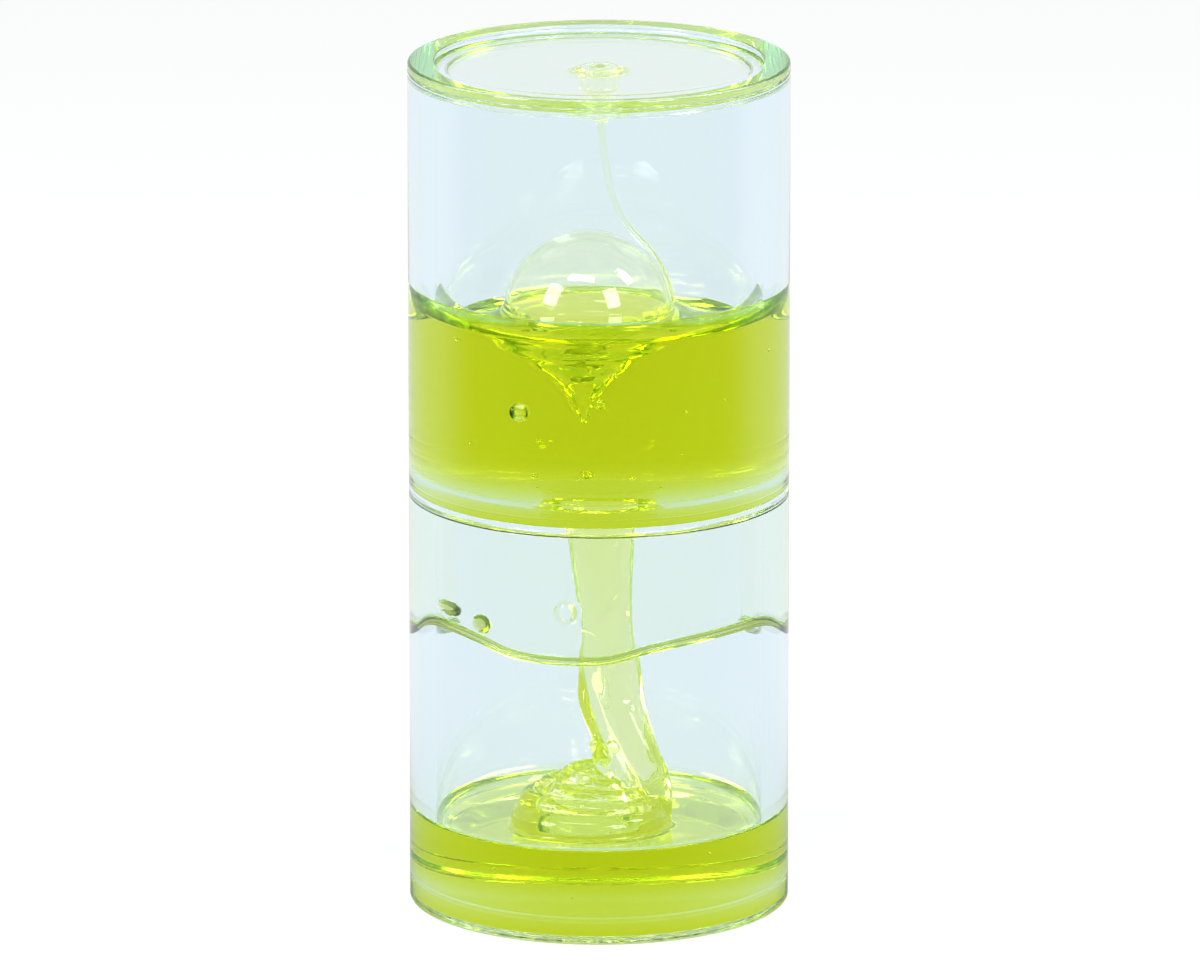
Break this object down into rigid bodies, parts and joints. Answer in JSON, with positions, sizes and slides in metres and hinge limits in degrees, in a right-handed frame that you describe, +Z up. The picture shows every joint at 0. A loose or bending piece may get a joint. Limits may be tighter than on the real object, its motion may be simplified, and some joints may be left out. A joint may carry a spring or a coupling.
{
  "type": "liquid motion timer",
  "caption": "Clear upright cylinder with chambers joined by a holed divider; lime gel runs from the upper chamber to the lower one.",
  "frame": {"origin": "centre of the base, in the plane of the rim it stands on", "axes": "+Z up along the tube; the pictured side faces -Y; +X is the picture's right"},
  "size_m": [0.066, 0.066, 0.149],
  "materials": {
    "clear_acrylic": "clear, polished",
    "plug_acrylic": "clear, polished",
    "lime_gel": "wet, see-through"
  },
  "bodies": {
    "vessel": {"bottom_cap": "clear_acrylic", "lower_tube": "clear_acrylic", "divider": "clear_acrylic", "upper_tube": "clear_acrylic", "top_cap": "clear_acrylic", "fill_plug": "plug_acrylic", "cap_gel_film": "lime_gel", "gel_thread": "lime_gel", "upper_gel_pool": "lime_gel", "gel_stream": "lime_gel", "lower_gel_pool": "lime_gel", "wall_gel_curtain": "lime_gel"},
    "lower_level": {"gel_folds": "lime_gel"},
    "upper_level": {"surface_bubble": "lime_gel"}
  },
  "joints": [
    {"name": "lower_gel_rise", "type": "slide", "parent": "vessel", "child": "lower_level", "axis": [0, 0, 1], "range_m": [-0.008, 0.018], "deforming": ["gel_stream", "lower_gel_pool"]},
    {"name": "upper_gel_rise", "type": "slide", "parent": "vessel", "child": "upper_level", "axis": [0, 0, 1], "range_m": [-0.018, 0.008], "deforming": ["upper_gel_pool", "gel_thread"]}
  ],
  "couplings": [
    {"joint": "upper_gel_rise", "follows": "lower_gel_rise", "ratio": -1}
  ]
}
